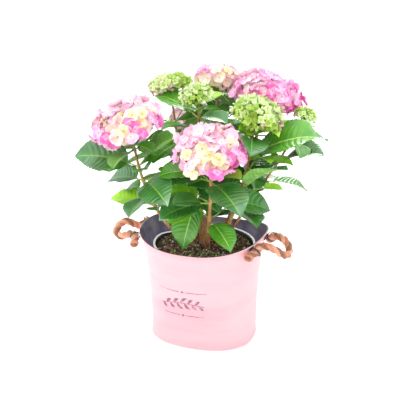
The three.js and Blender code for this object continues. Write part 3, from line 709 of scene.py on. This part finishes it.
def leaf_point(leaf, u, v, lift, tooth=0.0):
    """A point of the blade: u along it, v across it, lift above it."""
    long, rise = leaf["long"], leaf["rise"]
    bend = LEAF_DROOP / long
    now = rise - bend * long * max(0, u)
    straight = long * (LEAF_STALK + min(0, u))
    outward = straight * cos(rise) + (sin(rise) - sin(now)) / bend
    upward = straight * sin(rise) + (cos(now) - cos(rise)) / bend
    # an egg's outline, brought to a width of 1 by 2.36, and drawn in towards its tip
    half = 0.5 * long * LEAF_WIDTH * 2.36 * max(0, u) ** 0.56 * max(0, 1 - u) ** 0.68
    half *= 1 - 0.55 * max(0, (u - 0.74) / 0.26) ** 1.5
    across = v * (half * cos(LEAF_FOLD) + tooth)
    raise_by = lift + abs(v) * half * sin(LEAF_FOLD)
    aside = across * cos(leaf["bank"]) - raise_by * sin(leaf["bank"])
    above = across * sin(leaf["bank"]) + raise_by * cos(leaf["bank"])
    level = level_way(leaf["turn"])
    side = Vector((-level.y, level.x, 0))
    return (leaf["root"] + level * (outward - sin(now) * above) + side * aside
            + Vector((0, 0, upward + cos(now) * above)))


def leaf_skin(leaf):
    long, wave = leaf["long"], leaf["wave"]

    def place(a, r):
        column = round(a * len(COLUMNS)) % len(COLUMNS)
        u0, quilt, tooth, _ = ROWS[round(r * (len(ROWS) - 1))]
        v = COLUMNS[column]
        top = column < len(TOP_COLUMNS)
        if u0 < 0:
            angle = pi - column / len(COLUMNS) * tau
            thick = (1.25 if u0 > -0.21 else 1.7) * (0.6 + 0.4 * long / 90) * (0 if u0 <= -LEAF_STALK else 1)
            spot = leaf_point(leaf, u0, 0, 0)
            other = leaf_point(leaf, u0, 0, 1) - spot
            side = other.cross(level_way(leaf["turn"])).normalized()
            return spot - side * cos(angle) * thick + other * sin(angle) * thick
        reach = min(1, u0 / 0.1) ** 0.7
        u = u0 + 0.42 * (1 - u0) * abs(v) ** 1.45 * reach * (1 - 0.3 * u0)
        inner = max(0.0, 1 - abs(v)) if abs(v) < 1 else 0.0
        relief = (0.017 * quilt * min(1, inner * 5) * min(1, abs(v) * 3.2) - 0.004) * long * (1 - 0.6 * u)
        ripple = 0.018 * long * abs(v) ** 2 * sin(wave + 9 * u + (1.7 if v > 0 else 0)) * min(1, 4 * u)
        curl = -0.05 * long * max(0.0, u - 0.72) ** 2 * 6
        thick = 0.45 * min(1.0, inner * 3 + 0.25) * (1 - 0.5 * u)
        lift = relief + ripple + curl + (thick * 0.5 if top else -thick * 0.5)
        if not top and abs(v) < 0.1:
            lift -= 0.9 * (1 - 0.8 * u) * long / 90
        return leaf_point(leaf, u, v, lift, 0.02 * long * tooth * (1 - 0.5 * u) if abs(v) == 1 else 0.0)

    def kind(a, r):
        column = int(a * len(COLUMNS))
        row = int(r * (len(ROWS) - 1))
        if ROWS[row][0] < -0.01:
            return STALK
        if column >= len(TOP_COLUMNS) - 1:
            return UNDERSIDE
        if column == MIDRIB_COLUMN:
            return MIDRIBS[leaf["tint"]]
        return VEINS[leaf["tint"]] if ROWS[row][3] else leaf["tint"]

    return place, kind


def make_leaf(bm, root, turn, long, rise, roll, tint, dice):
    """A leaf that banks to face out of the plant, the more the further aside of its stem it lies."""
    leaf = dict(root=root, turn=radians(turn), long=long, rise=radians(rise), tint=tint,
                wave=dice.uniform(0, 6))
    level = level_way(leaf["turn"])
    out = Vector((root.x, root.y, 0)) + level * long * 0.6
    aside = out.dot(Vector((-level.y, level.x, 0))) / max(out.length, 40)
    leaf["bank"] = -LEAF_BANK * aside + radians(roll)
    place, kind = leaf_skin(leaf)
    wrap(bm, len(COLUMNS), len(ROWS) - 1, place, kind)


def samples(root, turn, long, rise):
    """Points over a leaf, to tell whether another one would touch it."""
    way = level_way(radians(turn))
    side = Vector((-way.y, way.x, 0))
    for u in (0.15, 0.4, 0.65, 0.9):
        angle = radians(rise) - LEAF_DROOP * u * 0.6
        middle = root + (way * cos(angle) + Vector((0, 0, sin(angle)))) * long * (u + LEAF_STALK)
        for v in (-0.24, 0, 0.24):
            yield middle + side * v * long * (1.2 - u)


CROWN_FOOT = 205.0  # no twig's leaf hangs below this


def room_for(spots, taken, clear):
    """Whether the points keep clear of other leaves and of the flower heads, and stay in the crown."""
    for spot in spots:
        if spot.z < CROWN_FOOT or hypot(spot.x, spot.y) > 60 + 0.31 * spot.z:
            return False
        for shoot in SHOOTS.values():
            off = spot - Vector(shoot["head"])
            beside = hypot(off.x, off.y) < shoot["wide"] + 5
            if beside and -shoot["tall"] * 0.7 < off.z < shoot["tall"] + 6:
                return False
        if any((spot - other).length < clear for other in taken):
            return False
    return True


# First the large pairs, then a short side twig with a smaller pair from each joint where there is
# room, and a pair of young leaves under each head.
# How often each tint comes: the low pairs are yellower, with painted light shining through them, the upper
# ones deeper.
LOW_TINTS, HIGH_TINTS = (24, 34, 28, 14), (76, 24, 0, 0)
TWIG_TINTS, YOUNG_TINTS = (22, 30, 30, 18), (3, 4, 3)  # the young ones are never deep green
dice = random.Random(23)
taken = [spot for shoot in SHOOTS.values() for at, turns, longs, rises, *rolls in shoot["pairs"]
         for i in (0, 1) for spot in samples(shoot_line(shoot)(at), turns[i], longs[i], rises[i])]
for name, shoot in SHOOTS.items():
    line = shoot_line(shoot)
    bm, twigs = bmesh.new(), bmesh.new()
    for at, turns, longs, rises, *rolls in shoot["pairs"]:
        for i in (0, 1):
            tint = dice.choices(TINTS, LOW_TINTS if at < 0.6 else HIGH_TINTS)[0]
            roll = rolls[0][i] if rolls else 0
            make_leaf(bm, line(at), turns[i], longs[i], rises[i], roll, tint, dice)
        for i in (0, 1):
            for attempt in range(40):
                turn = (turns[0] + turns[1]) / 2 + 180 * i + dice.uniform(-75, 75)
                lift = dice.uniform(5, 60)
                twig = dice.uniform(12, 34)
                long = dice.uniform(40, 66) * (1 - attempt * 0.006)
                flat = cos(radians(lift))
                way = Vector((cos(radians(turn)) * flat, sin(radians(turn)) * flat,
                              sin(radians(lift))))
                tip = line(at) + way * twig
                heading, rise = turn + dice.uniform(-30, 30), dice.uniform(-15, 35)
                spots = list(samples(tip, heading, long, rise))
                if not room_for(spots, taken, 11):
                    continue
                taken += spots
                tube(twigs, lambda s, a=line(at), b=tip: a.lerp(b, s), lambda s, a: 1.5 - 0.4 * s, 7, 6)
                make_leaf(bm, tip, heading, long, rise, 0, dice.choices(TINTS, TWIG_TINTS)[0], dice)
                break
    for i in (0, 1):
        for attempt in range(30):
            turn, rise, long = dice.uniform(0, 360), dice.uniform(-10, 30), dice.uniform(30, 44)
            spots = list(samples(line(0.965), turn, long, rise))[:6]
            if all((spot - other).length > 9 for spot in spots for other in taken):
                taken += spots
                tint = dice.choices(TINTS[1:], YOUNG_TINTS)[0]
                make_leaf(bm, line(0.965), turn, long, rise, 0, tint, dice)
                break
    bmesh.ops.recalc_face_normals(bm, faces=bm.faces)
    put(f"leaf_blades_{name}", bm, "leaf", leaf_finishes, f"leaves_{name}")
    if twigs.faces:
        put(f"side_twigs_{name}", twigs, "leaf", [green_stem], f"leaves_{name}")

# ---------------- flower heads
# Domes of papery florets, each of four rounded sepals round a bead. The florets stand on thin
# green stalks that fan out from the top of the stem, and overlap like tiles.
# Sepal tissue: thin and matt with a faint satin, and a faint painted glow that lifts the shade among
# florets.
# Each tone drifts in small patches between its two colours.
SEPAL_TONES = {
    "lime": ["#aed454", "#c8e47e"], "mint": ["#d8ebaa", "#e9f4cc"], "yellow": ["#ead58a", "#f6ebc0"],
    "cream": ["#f2dfae", "#fae8dc"], "ivory": ["#f6dfc6", "#fbe6ea"], "blush": ["#f5b9d8", "#fbdbe6"],
    "lilac": ["#f1c9e4", "#f9e4f1"], "pink": ["#f19ad2", "#fac6e6"], "hot": ["#e85cb2", "#f592ce"],
    "dusty": ["#d6aca2", "#e2c0b6"], "olive": ["#8fac34", "#a8c250"], "bead": ["#dccf80", "#ccb65c"]}
sepal = {tone: mottled(f"sepal_{tone}", colours, 4, 0.6, 0.2, 0.8, Emission_Color=linear(colours[1]),
                       Emission_Strength=0.06) for tone, colours in SEPAL_TONES.items()}
PALETTE = list(sepal)
# each dress: the tones of the middle and of the rim of a floret's sepals
DRESS = {
    "cream": ("yellow", "cream"), "ivory": ("cream", "ivory"), "blush": ("ivory", "blush"),
    "lilac": ("ivory", "lilac"), "pink": ("blush", "pink"), "hot": ("pink", "hot"),
    "lime": ("olive", "lime"), "pale": ("lime", "mint"), "dusty": ("mint", "dusty"),
    "green": ("olive", "olive")}
# For each shoot: florets, their width, their kind, and where its tones lie: heading round the head,
# share of the way up, dress.
HEADS = {
    "left": (84, 26, "open", [
        (285, 0.35, "cream"), (265, 0.0, "cream"), (300, 0.1, "ivory"), (315, -0.15, "hot"),
        (215, 0.1, "pink"), (230, 0.45, "blush"), (250, -0.35, "pink"), (240, 0.7, "lilac"),
        (320, 0.6, "blush"), (20, 0.2, "pink"), (60, 0.5, "blush"), (120, 0.1, "pink"),
        (160, 0.4, "cream"), (90, -0.3, "hot"), (0, 0.95, "blush"), (345, 0.1, "blush")]),
    "front": (86, 27, "open", [
        (285, 0.3, "cream"), (245, 0.0, "cream"), (265, 0.1, "cream"), (335, -0.02, "hot"),
        (350, 0.1, "pink"), (300, 0.8, "blush"), (235, 0.5, "blush"), (218, 0.0, "pink"),
        (295, -0.25, "blush"), (312, -0.3, "pink"), (320, 0.4, "ivory"), (5, 0.4, "pink"),
        (262, -0.4, "hot"), (20, 0.5, "lilac"), (70, 0.2, "pink"), (120, 0.3, "cream"),
        (170, 0.0, "blush"), (100, -0.3, "hot"), (0, 0.95, "blush")]),
    "right_lime": (92, 16, "young", [
        (230, 0.3, "lime"), (275, 0.3, "lime"), (300, 0.65, "pale"), (325, 0.3, "pale"),
        (300, -0.1, "lime"), (0, 0.5, "pale"), (10, 0.1, "dusty"), (90, 0.3, "lime"), (160, 0.4, "pale"),
        (280, -0.35, "green"), (100, -0.3, "green")]),
    "back_right": (88, 27, "open", [
        (290, 0.85, "lilac"), (270, 0.35, "pink"), (235, 0.1, "hot"), (320, 0.25, "pink"),
        (350, 0.45, "pink"), (10, -0.1, "hot"), (300, -0.1, "hot"), (285, 0.1, "hot"), (60, 0.4, "pink"),
        (110, 0.1, "pink"), (150, 0.5, "blush"), (190, 0.2, "pink"), (220, 0.6, "blush")]),
    "top_centre": (64, 23, "open", [
        (200, 0.4, "pink"), (225, 0.6, "pink"), (250, 0.3, "ivory"), (285, 0.1, "cream"),
        (320, 0.3, "cream"), (350, 0.15, "ivory"), (290, 0.7, "ivory"), (20, 0.4, "ivory"),
        (80, 0.2, "pink"), (130, 0.5, "ivory"), (170, 0.0, "pink"), (0, 0.95, "blush")]),
    "mid_lime": (56, 11, "young", [
        (290, 0.2, "lime"), (340, 0.5, "pale"), (230, 0.5, "pale"), (60, 0.3, "lime"),
        (140, 0.4, "pale"), (290, -0.4, "green")]),
    "back_left": (78, 15, "young", [
        (215, 0.0, "dusty"), (250, 0.5, "pale"), (290, 0.3, "pale"), (340, 0.3, "lime"),
        (280, -0.2, "dusty"), (60, 0.3, "lime"), (110, 0.2, "dusty"), (170, 0.5, "pale")]),
    "far_right": (36, 10, "young", [
        (290, 0.3, "pale"), (0, 0.3, "lime"), (90, 0.3, "lime"), (200, 0.2, "green")]),
    "rear": (80, 26, "open", [
        (290, 0.8, "lilac"), (300, 0.2, "pink"), (20, 0.2, "pink"), (60, 0.0, "hot"), (90, 0.4, "blush"),
        (130, 0.1, "pink"), (150, 0.6, "lilac"), (180, 0.2, "ivory"), (210, 0.0, "pink"),
        (250, 0.3, "blush")]),
}
HEAD_FLAT = 0.86  # the florets' dome is this much lower than the head's half height
TONE_DRIFT = 0.5  # how far chance may carry a tone beyond its place


INNER, RIM, BEAD = range(3)


def floret_mesh(kind, cup):
    """One floret of width 1, facing up: four sepals, each a sheet of 3 by 4 cells, and a bead."""
    bm = bmesh.new()
    for i in range(4):
        made = bmesh.ops.create_grid(bm, x_segments=4, y_segments=3, size=0.5)["verts"]
        for face in {face for vert in made for face in vert.link_faces}:
            face.material_index = INNER if face.calc_center_median().y < -0.1 else RIM
        spin = Matrix.Rotation(i * pi / 2, 3, "Z")
        for vert in made:
            v, r = vert.co.x * 2, vert.co.y + 0.5
            if kind == "open":
                width = 0.05 + 0.26 * sin(pi * min(1, 0.08 + 0.68 * r ** 0.85)) ** 0.9
                out = 0.05 + 0.45 * r * (1 - 0.3 * v * v * r) * (1 if i % 2 else 0.9)
            else:
                width = 0.05 + 0.2 * sin(pi * min(1, 0.1 + 0.8 * r)) ** 0.9
                out = 0.05 + 0.47 * r * (1 - 0.38 * v * v * r)
            ruffle = 0.09 * r * sin(3.2 * v + i * 1.9) * abs(v)
            up = cup * (r * r * 0.35 - 0.1 * r) + 0.06 * abs(v) * r + ruffle + (0.015 if i % 2 else 0)
            vert.co = spin @ Vector((out, v * width, up))
    bead = bmesh.ops.create_cone(bm, cap_ends=True, segments=6, radius1=0.06, radius2=0.025, depth=0.08)
    paint(bead["verts"], BEAD)
    mesh = bpy.data.meshes.new("floret")
    bm.to_mesh(mesh)
    bm.free()
    return mesh


florets = {"open": [floret_mesh("open", cup) for cup in (0.0, 0.35, 0.7)],
           "young": [floret_mesh("young", cup) for cup in (0.5, 0.9, 1.3)]}
GOLDEN = pi * (3 - sqrt(5))  # the turn from one floret to the next, as on any such head
for name, (count, width, kind, tones) in HEADS.items():
    shoot = SHOOTS[name]
    wide, tall = shoot["wide"], shoot["tall"]
    dice = random.Random(name)
    axis = head_axis(shoot)
    upright = Vector((0, 0, 1)).rotation_difference(axis)
    middle = Vector(shoot["head"])
    root = middle - axis * (tall * 0.55 + 8)
    bm, stalks = bmesh.new(), bmesh.new()
    # an outer and an inner layer over the dome, and a few strays that hang below it: how many florets,
    # how far out, and where the layer starts and ends, from 1 at the top to -1 at the bottom
    layers = ((count, 1.0, 1, -0.46), (int(count * 0.8), 0.8, 1, -0.5), (6, 0.86, -0.5, -0.85))
    for layer, (number, reach, top, bottom) in enumerate(layers):
        for i in range(number):
            upward = top + (bottom - top) * (i + 0.5) / number
            out = sqrt(1 - upward * upward)
            angle = i * GOLDEN + layer
            x, y = cos(angle) * out, sin(angle) * out
            scale = reach * dice.uniform(0.8, 1.03 if dice.random() < 0.88 else 1.12)
            spot = Vector((x * wide, y * wide, upward * tall * HEAD_FLAT)) * scale
            facing = Vector((x / wide, y / wide, upward / tall)).normalized()
            nod = Vector((dice.gauss(0, 0.38), dice.gauss(0, 0.38), dice.gauss(0, 0.32) + 0.1))
            facing = (facing + nod).normalized()
            turn = (Vector((0, 0, 1)).rotation_difference(facing)
                    @ Quaternion((0, 0, 1), dice.uniform(0, tau)))
            size = width * dice.uniform(0.78, 1.18) * (0.9 if layer else 1)
            seen = upright @ facing

            def nearness(tone):
                """How nearly the floret faces the way where a tone lies, give or take some chance."""
                heading, up, _ = tone
                flat = level_way(radians(heading)) * sqrt(1 - up * up)
                return (flat + Vector((0, 0, up))).dot(seen) + dice.uniform(0, TONE_DRIFT)

            inner, rim = DRESS[max(tones, key=nearness)[2]]
            mesh = dice.choice(florets[kind]).copy()
            colours = [PALETTE.index(inner), PALETTE.index(rim), PALETTE.index("bead")]
            for polygon in mesh.polygons:
                polygon.material_index = colours[polygon.material_index]
            place = (Matrix.Translation(middle) @ upright.to_matrix().to_4x4()
                     @ Matrix.Translation(spot) @ turn.to_matrix().to_4x4() @ Matrix.Scale(size, 4))
            mesh.transform(place)
            bm.from_mesh(mesh)
            bpy.data.meshes.remove(mesh)
            tip = place @ Vector((0, 0, -0.03))
            tube(stalks, arc(root, root.lerp(tip, 0.35) + axis * tall * 0.22, tip),
                 lambda s, a: 0.75 - 0.3 * s, 4, 4)
    petals = "rose" if name in ("back_right", "rear") else "pink" if kind == "open" else "lime"
    put(f"florets_{name}", bm, f"petals_{petals}", list(sepal.values()), f"flower_head_{name}")
    put(f"floret_stalks_{name}", stalks, "leaf", [green_stem], f"flower_head_{name}")
for mesh in florets["open"] + florets["young"]:
    bpy.data.meshes.remove(mesh)

# ---------------- floor, backdrop and light
# A matt white sheet on the ground and soft light from large panels, in a bright white room.
white_paper = bpy.data.materials.new("white_paper")
white_paper.use_nodes = True
paper = white_paper.node_tree.nodes["Principled BSDF"].inputs
paper["Base Color"].default_value, paper["Roughness"].default_value = (0.99, 0.99, 0.99, 1), 0.9
bm = bmesh.new()
bmesh.ops.create_grid(bm, x_segments=1, y_segments=1, size=6.0)
mesh = bpy.data.meshes.new("floor")
bm.to_mesh(mesh)
bm.free()
mesh.materials.append(white_paper)
floor = bpy.data.objects.new("floor", mesh)
scene.collection.objects.link(floor)

room = bpy.data.worlds.new("white_room")
room.use_nodes = True
sky = room.node_tree.nodes["Background"].inputs
sky["Color"].default_value, sky["Strength"].default_value = (1, 1, 1, 1), 1.05
scene.world = room
for name, place, size, power in (("key", (-1.3, -0.9, 1.4), 1.0, 12), ("fill", (1.0, -1.5, 0.8), 1.4, 6),
                                ("top", (0.2, 0.1, 2.4), 1.6, 12), ("back", (-0.2, 1.7, 1.5), 1.1, 26)):
    light = bpy.data.lights.new(name, "AREA")
    light.shape = "DISK"
    light.size = size
    light.energy = power
    lamp = bpy.data.objects.new(name, light)
    lamp.location = place
    lamp.rotation_euler = (Vector((0, 0, 0.25)) - Vector(place)).to_track_quat("-Z", "Y").to_euler()
    scene.collection.objects.link(lamp)
scene.view_settings.view_transform = "Standard"
